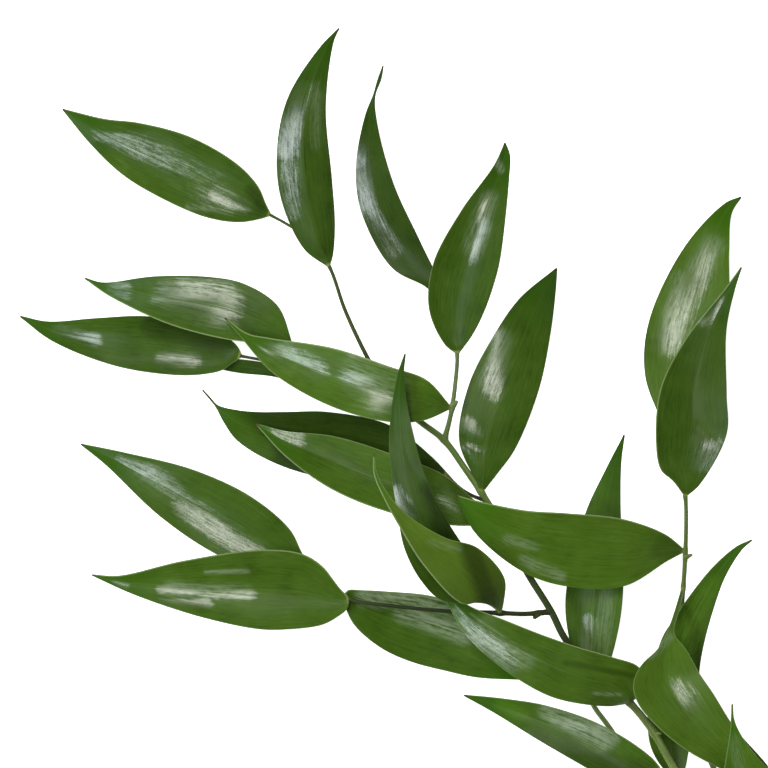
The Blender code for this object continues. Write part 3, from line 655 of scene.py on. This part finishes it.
def bladeSurface(leaf, number):
    # a function that gives places on the leaf's middle surface, u along it and v across it
    tip = atPixel(*leaf["tip"])
    first, second = [[atPixel(*point)[:2] for point in leaf[edge]] for edge in ("near", "far")]
    middle = (first[0] + second[0]) / 2
    outward = middle - atPixel(*leaf["base"])[:2]
    outward /= np.linalg.norm(outward)
    rise = math.radians(leaf["rise"])
    towards = np.array([*(outward * math.cos(rise)), math.sin(rise)])
    seat = shoots[leaf["shoot"]].seat(leaf["base"], towards, -bladeMake["sunkInBark"] * mm)

    def across(back, ahead, width):
        run = (ahead - back) / np.linalg.norm(ahead - back)
        return np.array([-run[1], run[0]]) * width * mm / 2

    finish = (first[-1] + second[-1]) / 2
    turned = math.copysign(1.0, np.dot(across(seat[:2], middle, 1.0), second[0] - first[0]))
    root = across(seat[:2], middle, bladeMake["stalkWidth"]) * turned
    end = across(finish, tip[:2], bladeMake["tipWidth"]) * turned
    samples = bladeMake["edgeSamples"]
    nearEdge = smoothPath([seat[:2] - root, *first, tip[:2] - end], samples)
    farEdge = smoothPath([seat[:2] + root, *second, tip[:2] + end], samples)
    shares = np.linspace(0.0, 1.0, samples)
    heights = (seat[2] / mm, *leaf["heights"])

    def surface(u, v):
        near = np.stack([np.interp(u, shares, column) for column in nearEdge.T], axis=1)
        far = np.stack([np.interp(u, shares, column) for column in farEdge.T], axis=1)
        half = (far - near) / 2
        place = (near + far) / 2 + half * v[:, None]
        halfWidth = np.linalg.norm(half, axis=1)
        full = np.minimum(1.0, halfWidth / (bladeMake["fullLeanWidth"] * mm))
        height = valueAlong(heights, u) * mm
        height += valueAlong(leaf["lean"], u) * mm * full * v
        height += leaf["cup"] * halfWidth * (v * v - bladeMake["cupLevel"])
        height += leaf["fold"] * halfWidth * (abs(v) - bladeMake["foldLevel"])
        # a real blade isn't even: its edges wave and its face has shallow lumps
        calm = full * fade(0.0, bladeMake["calmEnds"][0], u) * fade(0.0, bladeMake["calmEnds"][1], 1 - u)
        turns, leafShift, sideShift = bladeMake["waves"]
        wave = np.sin(2 * math.pi * (turns * u + leafShift * number + sideShift * np.sign(v))) * v * v
        turns, leafShift, sideShift = bladeMake["lumps"]
        lump = np.sin(2 * math.pi * (turns * u + sideShift * v + leafShift * number))
        height += calm * (bladeMake["waveHeight"] * wave + bladeMake["lumpHeight"] * lump) * mm
        for *stroke, width, depth in leaf["dents"]:
            away = fromStroke(place, stroke, width)
            height -= depth * mm * np.exp(-away * away)
        return place, height, halfWidth

    return surface


def leafMesh(name, leaf, number):
    surface = bladeSurface(leaf, number)
    shape = bmesh.new()
    shape.loops.layers.uv.new("bladeMap")
    steps = dict(x_segments=bladeMake["lengthSteps"], y_segments=bladeMake["widthSteps"])
    bmesh.ops.create_grid(shape, **steps, size=0.5, calc_uvs=True)
    along = np.array([vertex.co.x + 0.5 for vertex in shape.verts])
    v = np.array([vertex.co.y * 2 for vertex in shape.verts])
    u = along + (0.5 - 0.5 * np.cos(math.pi * along) - along) * bladeMake["crowding"]
    place, height, halfWidth = surface(u, v)
    fromMidrib = v * halfWidth / (bladeMake["midribWidth"] * mm)
    thick = bladeMake["edge"] + (bladeMake["blade"] - bladeMake["edge"]) * (1 - v**4)
    thick += bladeMake["midrib"] * np.exp(-fromMidrib * fromMidrib) * (1 - u)
    stalk = 1 - fade(*bladeMake["stalkTo"], u)
    thick += (bladeMake["thickest"] * (1 - bladeMake["stalkRound"] * v * v) - thick) * stalk
    thick *= 1 - bladeMake["tipThins"] * fade(*bladeMake["tipFrom"], u)
    marks = {kind: np.zeros(len(u)) for kind in ("light", "paintedSheen", "shine")}
    for kind, mark in marks.items():
        for *stroke, width, strength in leaf[kind]:
            patch = strength * (1 - fade(*bladeMake["strokeEdge"], fromStroke(place, stroke, width)))
            mark[:] = np.where(abs(patch) > abs(mark), patch, mark)
    rim = np.where(v < 0, leaf["rims"][0], leaf["rims"][1])
    length = np.linalg.norm(atPixel(*leaf["tip"]) - atPixel(*leaf["base"]))
    values = {
        "alongBlade": u, "alongMm": u * length / mm, "halfWidth": halfWidth / mm,
        "rim": rim, "toneAndShade": np.full(len(u), leaf["toneAndShade"]), "warm": np.full(len(u), leaf["warm"]),
        "own": np.full(len(u), float(number)), **marks,
    }
    layers = {key: shape.verts.layers.float.new(key) for key in values}
    weights = shape.verts.layers.deform.verify()
    for index, vertex in enumerate(shape.verts):
        vertex.co = (*place[index], height[index])
        vertex[weights][0] = thick[index] / bladeMake["thickest"]
        for key, layer in layers.items():
            vertex[layer] = values[key][index]
    bmesh.ops.recalc_face_normals(shape, faces=shape.faces)
    if sum(face.normal.z for face in shape.faces) < 0:
        bmesh.ops.reverse_faces(shape, faces=shape.faces)
    mesh = meshOf(shape, name)
    for finish in leafFinishes:
        mesh.materials.append(finish)
    blank = addObject(name + "_blank", mesh)
    blank.vertex_groups.new(name="thickness")
    blade = blank.modifiers.new("blade", "SOLIDIFY")
    blade.thickness = bladeMake["thickest"] * mm
    blade.offset = 0.0
    blade.vertex_group = "thickness"
    blade.material_offset = 1
    blade.material_offset_rim = 2
    settled = settledMesh(blank, name, bladeMake["sharpFrom"])
    bpy.data.objects.remove(blank, do_unlink=True)
    return settled


# Colours are linear. The upper side is waxy, the underside is paler and dull. Ribs, mottles and grain
# are counted per millimetre, first along the blade and then across it, and blotches per metre. Ribs
# fan out from the blade's ends as if half of it were ribSpan millimetres wide. midribEdge is where the
# midrib's colour starts to fade and is gone, in millimetres from its middle. From and To give where a
# colour starts and is full, and share how much of it there is. The dictionaries at the end say how
# much of each pattern goes into the colour, the painted sheen, roughness, gloss and relief.
leafLook = dict(
    dark=(0.026, 0.060, 0.003), mid=(0.042, 0.091, 0.006), pale=(0.063, 0.122, 0.014),
    yellow=(0.115, 0.180, 0.018), tipGreen=(0.026, 0.090, 0.001), tipBrown=(0.05, 0.035, 0.015),
    # the pale and dark edge colours: painted highlight and painted shade on the edge lines
    edgeHighlight=(0.20, 0.27, 0.10), edgeShade=(0.035, 0.035, 0.012), joint=(0.17, 0.20, 0.04),
    # the pale colour of the sheen strokes: a painted sheen and highlight
    paintedSheen=(0.20, 0.25, 0.15),
    under=(0.105, 0.165, 0.062), underDark=(0.07, 0.12, 0.04), midribPale=(0.085, 0.135, 0.03),
    roughness=0.46, underRoughness=0.55, specular=0.05, coat=0.04, coatShine=0.84, coatRoughness=0.21,
    rimWidth=0.24, midribEdge=(0.054, 0.288), midribDull=0.85, midribSinks=0.2, leafStep=3.7,
    midFrom=(0.1, 0.55), paleFrom=(0.5, 1.0), underFrom=(0.1, 0.9), greenFrom=(0.68, 0.93),
    brownFrom=(0.98, 0.996), jointTo=(0.004, 0.022), shineFrom=(0.0, 0.3), glossFrom=(0.0, 1.35),
    share=dict(tipGreen=0.7, midrib=0.2, underMidrib=0.5, paintedSheen=0.8, edgeHighlight=0.75, tipBrownAndEdgeShade=0.85),
    ribs=(0.09, 1.4), fineRibs=(0.2, 3.0), mottle=(0.45, 1.1), grain=(1.3, 2.4), blotch=95.0,
    ribSpan=11, shineGain=1.1, bumpHeight=0.1,
    colourBy=dict(blotch=1.1, ribs=0.7, fineRibs=0.55, mottle=0.35),
    paintedSheenBy=dict(ribs=2.0, mottle=1.2),
    roughBy=dict(ribs=0.2, mottle=0.2),
    glossBy=dict(grain=0.9, mottle=1.1, ribs=1.6),
    reliefBy=dict(ribs=0.8, fineRibs=0.12, mottle=0.7, grain=0.14, blotch=0.8),
)


def leafFinish(name, side):
    material, shader, s = startFinish(name)
    look = leafLook
    share = look["share"]
    blade = s.add("ShaderNodeUVMap", {"uv_map": "bladeMap"})
    v = s.add("ShaderNodeSeparateXYZ", None, {0: blade}, "Y") * 2 - 1
    u = s.kept("alongBlade")
    along = s.kept("alongMm")
    halfWidth = s.kept("halfWidth")
    across = v * halfWidth
    own = s.kept("own")

    def pattern(name, detail, sideways):
        # streaks that run with the blade
        perMm = look[name]
        place = {0: along * perMm[0], 1: sideways * perMm[1], 2: own * look["leafStep"]}
        return s.streaks(s.add("ShaderNodeCombineXYZ", None, place), detail)

    fan = v * look["ribSpan"]  # closes in at the blade's ends, as its ribs do
    where = s.add("ShaderNodeTexCoord", output="Object")
    patterns = {
        "ribs": pattern("ribs", 2.0, fan),
        "fineRibs": pattern("fineRibs", 1.0, fan),
        "mottle": pattern("mottle", 3.0, across),
        "grain": pattern("grain", 2.0, across),
        "blotch": s.streaks(s.scaled(where, look["blotch"]), 3.0),
    }

    def uneven(level, amounts):
        # a level with some of each named pattern added, darker and lighter by as much
        for name, amount in amounts.items():
            level = level + (patterns[name] - 0.5) * amount
        return level

    midrib = abs(across).falls(*look["midribEdge"])
    spread = uneven(0.5, look["colourBy"])
    if side != "under":
        colour = s.blend(look["dark"], look["mid"], spread.rises(*look["midFrom"]))
        colour = s.blend(colour, look["pale"], spread.rises(*look["paleFrom"]))
        colour = s.blend(colour, look["yellow"], s.kept("warm"))
        colour = s.blend(colour, look["tipGreen"], u.rises(*look["greenFrom"]) * share["tipGreen"])
        colour = s.blend(colour, look["midribPale"], midrib * share["midrib"])
        # the tone, painted shade on leaf_10, and the light strokes' painted light and shade scale the
        # colour
        colour = s.scaled(colour, s.kept("toneAndShade") + s.kept("light"))
        # the sheen strokes paint a pale sheen and highlight, broken up by ribs and mottle
        patchy = uneven(0.6, look["paintedSheenBy"]).rises(0.0, 1.0)
        colour = s.blend(colour, look["paintedSheen"], s.kept("paintedSheen") * patchy * share["paintedSheen"])
    else:
        colour = s.blend(look["underDark"], look["under"], spread.rises(*look["underFrom"]))
        colour = s.blend(colour, look["midribPale"], midrib * share["underMidrib"])
    # the edge line, as wide on a small leaf as on a large one: painted highlight above 0, painted shade
    # below
    fromEdge = (1 - abs(v)) * halfWidth
    rim = s.kept("rim")
    line = (fromEdge - abs(rim) * look["rimWidth"]).falls(0.0, look["rimWidth"])
    colour = s.blend(colour, look["edgeHighlight"], line * rim.rises(0.0, 1.0) * share["edgeHighlight"])
    colour = s.blend(colour, look["edgeShade"], line * rim.falls(-1.0, 0.0) * share["tipBrownAndEdgeShade"])
    colour = s.blend(colour, look["joint"], u.falls(*look["jointTo"]))
    colour = s.blend(colour, look["tipBrown"], u.rises(*look["brownFrom"]) * share["tipBrownAndEdgeShade"])
    relief = uneven(midrib * -look["midribSinks"], look["reliefBy"])
    feed(shader, {"Base Color": colour, "Normal": s.bump(relief, look["bumpHeight"] * mm)})
    if side == "upper":
        shine = s.kept("shine")
        gloss = uneven(shine * look["shineGain"], look["glossBy"])
        gloss = gloss.rises(*look["glossFrom"]) * shine.rises(*look["shineFrom"])
        gloss = gloss * (1 - midrib * look["midribDull"])
        feed(shader, {
            "Roughness": uneven(look["roughness"], look["roughBy"]),
            "Coat Weight": look["coat"] + gloss * look["coatShine"],
            "Coat Roughness": look["coatRoughness"],
            "Specular IOR Level": look["specular"],
        })
    else:
        feed(shader, {"Roughness": look["underRoughness"]})
    return material


leafFinishes = [
    leafFinish("waxyLeafTop", "upper"),
    leafFinish("dullLeafUnderside", "under"),
    leafFinish("leafEdge", "edge"),
]
for number, (name, leaf) in enumerate(leaves.items(), 1):
    addPiece("ruscus_" + name, leafMesh(name, leafUsual | leaf, number), "root", name)
print("leaves made:", len(leaves))


def toneAt(name, share):
    # the bark's colour at a share of a shoot's length, or at each of many shares, with the main stem's
    # painted shade
    shares, colours = zip(*growth[name]["tonesAndShade"])
    return np.stack([np.interp(share, shares, channel) for channel in zip(*colours)], axis=-1)


def tubeMesh(name):
    # a closed tube along a shoot, swollen at its nodes and flared where it grows from its stem
    shoot = shoots[name]
    steps = max(8, int(shoot.length / (stemMake["step"] * mm)))
    shape = bmesh.new()
    shape.loops.layers.uv.new("barkMap")
    sides = stemMake["sides"]
    bmesh.ops.create_grid(shape, x_segments=steps, y_segments=sides, size=0.5, calc_uvs=True)
    along = np.array([vertex.co.x + 0.5 for vertex in shape.verts])
    around = np.array([(vertex.co.y + 0.5) * 2 * math.pi for vertex in shape.verts])
    shares = np.linspace(0.0, 1.0, len(shoot.fine))
    route = np.stack([np.interp(along, shares, column) for column in shoot.fine.T], axis=1)
    headings = np.gradient(shoot.fine, axis=0)
    ahead = np.stack([np.interp(along, shares, column) for column in headings.T], axis=1)
    ahead /= np.linalg.norm(ahead, axis=1)[:, None]
    sideways = np.cross(ahead, (0.0, 0.0, 1.0))
    sideways /= np.linalg.norm(sideways, axis=1)[:, None]
    upward = np.cross(sideways, ahead)
    radius = np.interp(along, shares, shoot.radii)
    for node in shoot.nodes:
        away = (along - node) * shoot.length / (stemMake["swellingLength"] * mm)
        radius = radius * (1 + stemMake["swelling"] * np.exp(-away * away))
    if name != "main":
        fromStart = along * shoot.length / (stemMake["flareLength"] * mm)
        radius = radius * (1 + stemMake["flare"] * np.exp(-fromStart))
    fluted, uneven = stemMake["fluting"]
    radius = radius * (1 + fluted * np.cos(5 * around + 3 * along) + uneven * np.sin(3 * around))
    ring = np.cos(around)[:, None] * sideways + np.sin(around)[:, None] * upward
    places = route + ring * radius[:, None]
    places[:, 2] = np.maximum(places[:, 2], stemMake["overTable"] * mm)
    colours = toneAt(name, along)
    bark = shape.loops.layers.float_color.new("bark")
    barkMap = shape.loops.layers.uv["barkMap"]
    shape.verts.index_update()
    for index, vertex in enumerate(shape.verts):
        vertex.co = places[index]
    for face in shape.faces:
        for loop in face.loops:
            loop[bark] = (*colours[loop.vert.index], 1.0)
            loop[barkMap].uv.x *= shoot.length / mm
    bmesh.ops.remove_doubles(shape, verts=shape.verts, dist=0.005 * mm)
    rims = [edge for edge in shape.edges if edge.is_boundary]
    for cap in bmesh.ops.edgenet_fill(shape, edges=rims)["faces"]:
        for loop in cap.loops:
            loop[bark] = (*colours[-1], 1.0)
    bmesh.ops.recalc_face_normals(shape, faces=shape.faces)
    return meshOf(shape, name)


def scaleMesh(name, key, pixelPlace, sideways):
    # a small pointed scale leaf, hollow towards its twig, with its root sunk in the bark
    shoot = shoots[key]
    index = shoot.nearest(pixelPlace)
    point = Vector((*sideways, stemMake["scaleRise"])).normalized()
    colour = toneAt(key, index / (len(shoot.fine) - 1)) * stemMake["scaleTone"]
    long = stemMake["scaleLength"] * mm
    shape = bmesh.new()
    bmesh.ops.create_cone(
        shape, cap_ends=True, segments=10, depth=long,
        radius1=stemMake["scaleWidth"] / 2 * mm, radius2=stemMake["scaleTip"] / 2 * mm,
    )
    sides = [edge for edge in shape.edges if abs(edge.verts[0].co.z - edge.verts[1].co.z) > mm]
    bmesh.ops.subdivide_edges(shape, edges=sides, cuts=5, use_grid_fill=True)
    for vertex in shape.verts:
        share = vertex.co.z / long + 0.5
        bulge = 1 + stemMake["scaleBulge"] * math.sin(math.pi * share) * (1 - share)
        hook = stemMake["scaleHook"] * mm * share * share
        vertex.co.x *= bulge
        vertex.co.y = vertex.co.y * bulge * stemMake["scaleFlat"] + hook
    turn = Vector((0, 0, 1)).rotation_difference(point).to_matrix()
    bmesh.ops.rotate(shape, verts=shape.verts, matrix=turn)
    centre = Vector(shoot.fine[index]) + point * long * stemMake["scaleStandsOut"]
    bmesh.ops.translate(shape, verts=shape.verts, vec=centre)
    bark = shape.loops.layers.float_color.new("bark")
    shape.loops.layers.uv.new("barkMap")
    for face in shape.faces:
        for loop in face.loops:
            loop[bark] = (*colour, 1.0)
    bmesh.ops.recalc_face_normals(shape, faces=shape.faces)
    return meshOf(shape, name)


# ridges are noise cells across the bark's round, ridgeRun cells per millimetre along it, and the
# blotches and flecks are cells per metre. From gives where a mark starts and is full, and share how
# much of a pattern goes into the colour, roughness or relief.
barkLook = dict(
    scar=(0.06, 0.05, 0.02), groove=0.5, roughness=0.5, specular=0.08, blotch=260.0, fleck=1100.0,
    ridges=3.7, ridgeRun=0.08, ridgeHeight=0.08, ridgeFrom=(0.3, 0.75), scarFrom=(0.68, 0.8),
    share=dict(ridges=0.5, blotch=0.4, scar=0.5, rough=0.25, fleckRelief=0.3),
)


def barkFinish():
    material, shader, s = startFinish("greenBark")
    look = barkLook
    share = look["share"]
    barkMap = s.add("ShaderNodeUVMap", {"uv_map": "barkMap"})
    along = s.add("ShaderNodeSeparateXYZ", None, {0: barkMap}, "X")
    turn = along.pick("Y") * (2 * math.pi)
    where = s.add("ShaderNodeTexCoord", output="Object")
    ring = s.add("ShaderNodeCombineXYZ", None, {
        0: s.sum("COSINE", turn) * look["ridges"],
        1: s.sum("SINE", turn) * look["ridges"],
        2: along * look["ridgeRun"],
    })
    ridges = s.streaks(ring, 3.0)
    blotch = s.streaks(s.scaled(where, look["blotch"]), 3.0)
    fleck = s.streaks(s.scaled(where, look["fleck"]), 2.0)
    bark = s.add("ShaderNodeAttribute", {"attribute_name": "bark"}, output="Color")
    shadeBy = look["groove"] + ridges.rises(*look["ridgeFrom"]) * share["ridges"]
    colour = s.scaled(bark, shadeBy + (blotch - 0.5) * share["blotch"])
    colour = s.blend(colour, look["scar"], fleck.rises(*look["scarFrom"]) * share["scar"])
    feed(shader, {
        "Base Color": colour,
        "Roughness": look["roughness"] + (blotch - 0.5) * share["rough"],
        "Specular IOR Level": look["specular"],
        "Normal": s.bump(ridges + fleck * share["fleckRelief"], look["ridgeHeight"] * mm),
    })
    return material


greenBark = barkFinish()


def stemMesh(name):
    # one body from a stem, its twigs and its scale leaves
    meshes = [tubeMesh(key) for key, shoot in growth.items() if shoot["stem"] == name]
    for number, scale in enumerate(scales):
        if growth[scale[0]]["stem"] == name:
            meshes.append(scaleMesh(f"scale_{number}", *scale))
    for mesh in meshes:
        mesh.materials.append(greenBark)
    bodies = [bpy.data.objects.new(mesh.name + "_body", mesh) for mesh in meshes]
    others = bpy.data.collections.new(name + "_twigs")
    bpy.context.scene.collection.children.link(others)
    trunk = bodies[0]
    bpy.context.scene.collection.objects.link(trunk)
    for body in bodies[1:]:
        others.objects.link(body)
    if len(bodies) > 1:
        union = trunk.modifiers.new("grown", "BOOLEAN")
        union.operation = "UNION"
        union.operand_type = "COLLECTION"
        union.collection = others
        union.solver = "EXACT"
    settled = settledMesh(trunk, name, stemMake["sharpFrom"])
    for body in bodies:
        bpy.data.objects.remove(body, do_unlink=True)
    bpy.data.collections.remove(others)
    return settled


for key, pixelPlace, _ in scales:
    shoots[key].addNode(pixelPlace)
stems = ("stem_main", "stem_second", "stem_third")
for name in stems:
    addPiece("ruscus_" + name, stemMesh(name), "root", name)
print("stems made:", len(stems))


table = dict(
    size=12.0, drop=0.3, colour=(0.93, 0.93, 0.925), cloud=(0.95, 0.95, 0.95), clouds=2.0,
    roughness=0.9, specular=0.1, glow=0.78,  # lit from below, as a light table
)


def addTable():
    shape = bmesh.new()
    bmesh.ops.create_grid(shape, x_segments=1, y_segments=1, size=table["size"] / 2)
    bmesh.ops.translate(shape, verts=shape.verts, vec=(0, 0, -table["drop"] * mm))
    mesh = meshOf(shape, "paleTable")
    material, shader, s = startFinish("paleTable")
    where = s.add("ShaderNodeTexCoord", output="Object")
    cloudy = s.streaks(s.scaled(where, table["clouds"]), 2.0)
    feed(shader, {
        "Base Color": s.blend(table["colour"], table["cloud"], cloudy),
        "Roughness": table["roughness"],
        "Specular IOR Level": table["specular"],
        "Emission Color": (1.0, 1.0, 1.0, 1.0),
        "Emission Strength": table["glow"],
    })
    mesh.materials.append(material)
    floor = addObject("paleTable", mesh)


# Each soft box: how far it leans from straight up and towards where, in degrees (0 is the picture's
# right, 90 its top), its distance and size in metres, how bright its face is, and its colour.
lowBox = dict(distance=1.7, size=(1.3, 0.8), face=0.95, colour=(1.0, 1.0, 1.0))
softBoxes = {
    "warmBox": dict(
        lean=17, towards=130, distance=1.6, size=(0.5, 0.5), face=17.0, colour=(1.0, 0.97, 0.93)
    ),
    "coolBox": dict(
        lean=37, towards=182, distance=1.6, size=(0.75, 0.5), face=15.0, colour=(0.88, 0.95, 1.0)
    ),
    "lowRight": dict(lowBox, lean=66, towards=0),
    "lowLeft": dict(lowBox, lean=68, towards=180),
    "lowTop": dict(lowBox, lean=66, towards=90),
    "lowBottom": dict(lowBox, lean=66, towards=270),
}
room = dict(light=0.2, colour=(0.95, 0.98, 1.0, 1.0), aimMm=25)  # the boxes point at aimMm's height


def addLights():
    middle = Vector(atPixel(picture["pixels"] / 2, picture["pixels"] / 2, room["aimMm"]))
    for name, box in softBoxes.items():
        lean = math.radians(box["lean"])
        turn = math.radians(box["towards"])
        way = Vector((math.sin(lean) * math.cos(turn), math.sin(lean) * math.sin(turn), math.cos(lean)))
        lamp = bpy.data.lights.new(name, "AREA")
        lamp.shape = "RECTANGLE"
        lamp.size, lamp.size_y = box["size"]
        lamp.energy = box["face"] * math.pi * box["size"][0] * box["size"][1]
        lamp.color = box["colour"]
        holder = addObject(name, lamp)
        holder.location = middle + way * box["distance"]
        holder.rotation_euler = way.to_track_quat("Z", "Y").to_euler()
    world = bpy.data.worlds.new("softRoom")
    world.use_nodes = True
    feed(world.node_tree.nodes["Background"], {"Color": room["colour"], "Strength": room["light"]})
    bpy.context.scene.world = world


# planeMm is the height above the table at which the picture is its true width
photoCamera = dict(distance=5.0, planeMm=30, sensorMm=36.0, sees=20.0)


def addCamera():
    lens = bpy.data.cameras.new("photoCamera")
    middle = atPixel(picture["pixels"] / 2, picture["pixels"] / 2, photoCamera["planeMm"])
    lens.sensor_width = photoCamera["sensorMm"]
    lens.lens = lens.sensor_width * photoCamera["distance"] / picture["width"]
    lens.clip_end = photoCamera["sees"]
    camera = addObject("photoCamera", lens)
    camera.location = middle + (0.0, 0.0, photoCamera["distance"])
    bpy.context.scene.camera = camera


addTable()
addLights()
addCamera()
bpy.context.scene.view_settings.view_transform = "Standard"
print("table, lights and camera set")
